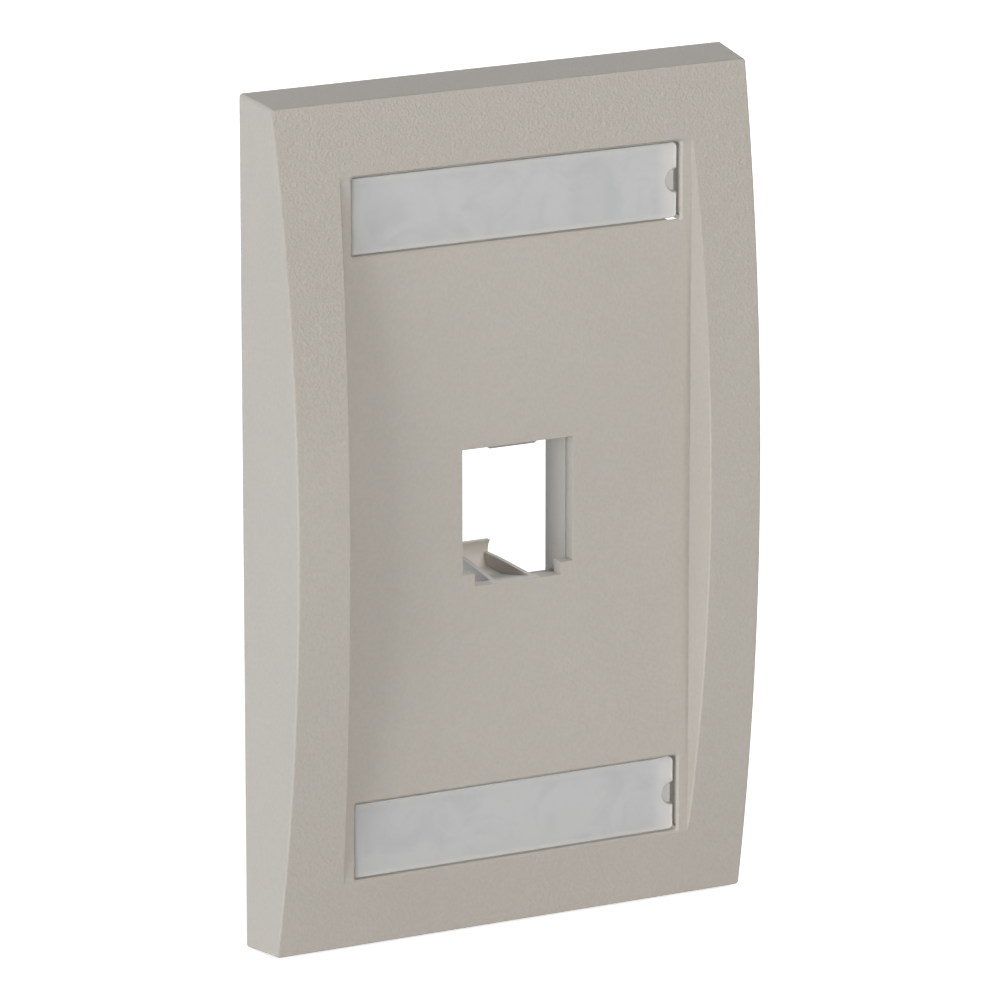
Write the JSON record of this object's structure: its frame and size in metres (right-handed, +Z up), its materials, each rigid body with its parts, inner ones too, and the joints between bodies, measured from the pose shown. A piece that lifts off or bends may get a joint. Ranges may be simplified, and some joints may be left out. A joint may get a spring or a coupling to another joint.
{
  "type": "keystone faceplate",
  "caption": "Single-gang wall faceplate with an arched border, a flat sunken panel, a module port with a latch arm, and label pockets under clear hinged covers.",
  "frame": {"origin": "centre of the back rim, in the plane of the wall", "axes": "+X to the right seen from the front, +Z up, +Y into the wall, so the front faces -Y"},
  "size_m": [0.0698, 0.0177, 0.1142],
  "materials": {
    "plate_plastic": "matte",
    "clear_plastic": "gloss",
    "label_paper": "matte"
  },
  "bodies": {
    "plate": {"faceplate": "plate_plastic", "label_card_top": "label_paper", "label_card_bottom": "label_paper"},
    "cover_top": {"label_cover_top": "clear_plastic"},
    "cover_bottom": {"label_cover_bottom": "clear_plastic"}
  },
  "joints": [
    {"name": "cover_top_hinge", "type": "hinge", "parent": "plate", "child": "cover_top", "pos_m": [-0.02305, -0.00865, 0.04167], "axis": [0, 0, -1], "range_deg": [0, 60]},
    {"name": "cover_bottom_hinge", "type": "hinge", "parent": "plate", "child": "cover_bottom", "pos_m": [-0.02305, -0.00865, -0.04167], "axis": [0, 0, -1], "range_deg": [0, 60]}
  ]
}
